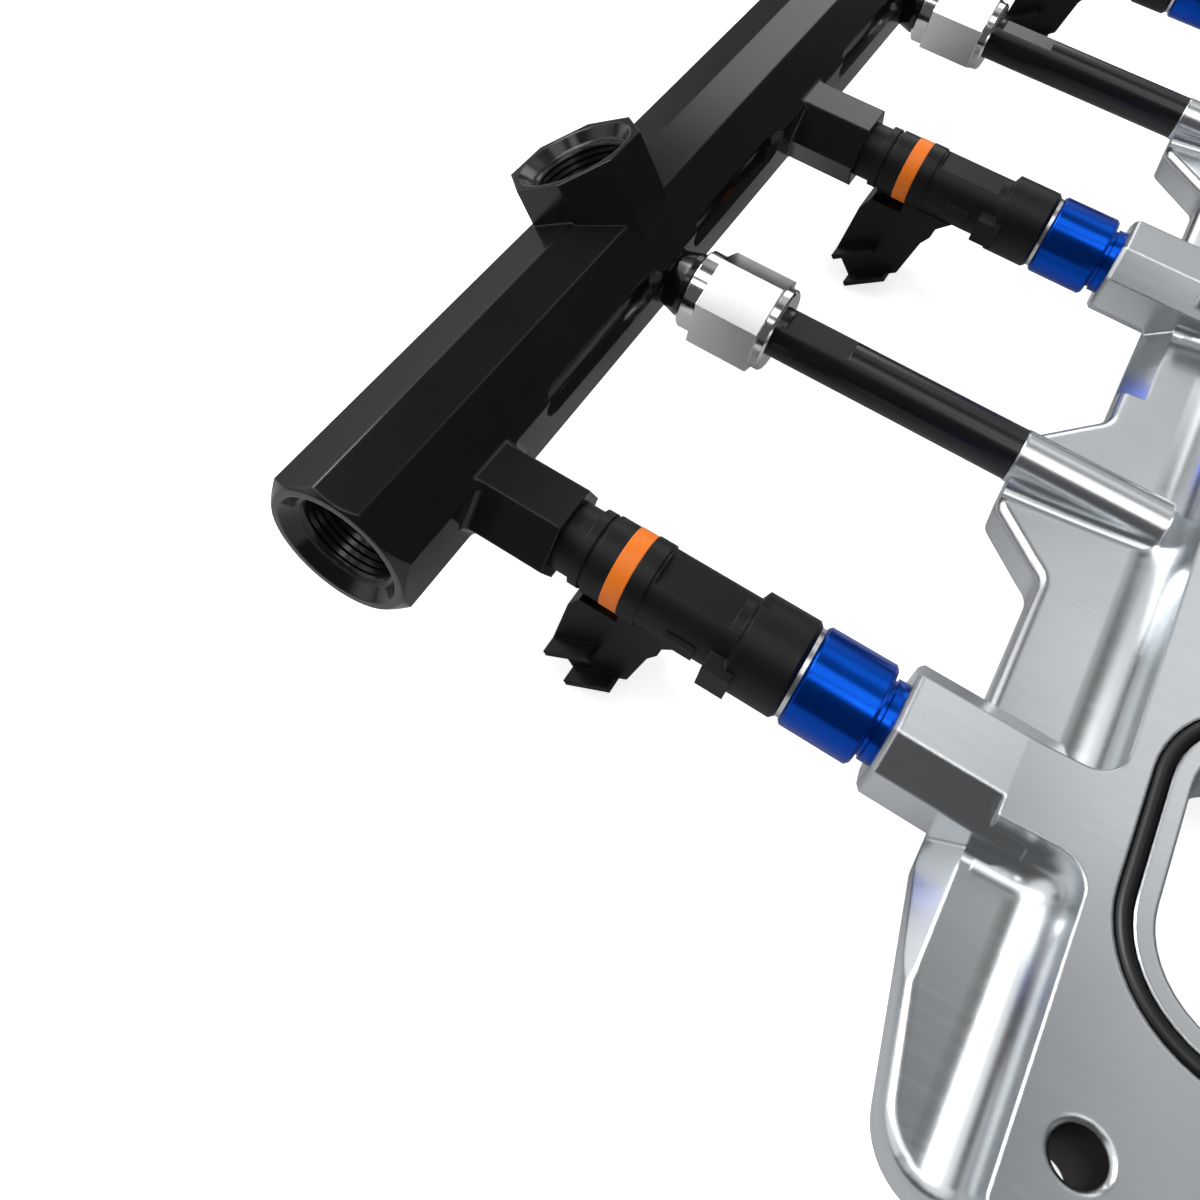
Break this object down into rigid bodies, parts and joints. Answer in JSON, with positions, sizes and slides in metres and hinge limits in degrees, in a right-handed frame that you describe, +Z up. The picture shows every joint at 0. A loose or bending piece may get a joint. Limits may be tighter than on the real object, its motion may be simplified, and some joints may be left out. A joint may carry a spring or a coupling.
{
  "type": "port injection plate",
  "caption": "Ported aluminium plate carrying a fuel rail, electric fuel injectors and rail standoffs, for fitting between an intake manifold and an engine.",
  "frame": {"origin": "centre of the plate's bolt pattern, on the plate's lower face", "axes": "+X along the rail, +Y from the ports towards the rail, +Z up out of the plate's upper face"},
  "size_m": [0.406, 0.2232, 0.0696],
  "materials": {
    "plate": "machined",
    "rail": "black anodised",
    "standoff": "black anodised satin",
    "nut": "machined bright",
    "injector_plastic": "moulded matte",
    "injector_metal": "turned",
    "injector_band": "satin",
    "adapter": "blue anodised",
    "seal": "smooth",
    "terminal": "tinned brass"
  },
  "bodies": {
    "root": {"plate": "plate", "rail": "rail", "injector_body_1": "injector_plastic", "injector_core_1": "injector_metal", "injector_band_1": "injector_band", "adapter_1": "adapter", "inlet_seal_1": "seal", "outlet_seal_1": "seal", "adapter_seal_1": "seal", "terminal_a_1": "terminal", "terminal_b_1": "terminal", "port_seal_1": "seal", "injector_body_2": "injector_plastic", "injector_core_2": "injector_metal", "injector_band_2": "injector_band", "adapter_2": "adapter", "inlet_seal_2": "seal", "outlet_seal_2": "seal", "adapter_seal_2": "seal", "terminal_a_2": "terminal", "terminal_b_2": "terminal", "port_seal_2": "seal", "injector_body_3": "injector_plastic", "injector_core_3": "injector_metal", "injector_band_3": "injector_band", "adapter_3": "adapter", "inlet_seal_3": "seal", "outlet_seal_3": "seal", "adapter_seal_3": "seal", "terminal_a_3": "terminal", "terminal_b_3": "terminal", "port_seal_3": "seal", "standoff_tube_1": "standoff", "coupling_nut_1": "nut", "standoff_tube_2": "standoff", "coupling_nut_2": "nut"}
  },
  "joints": []
}
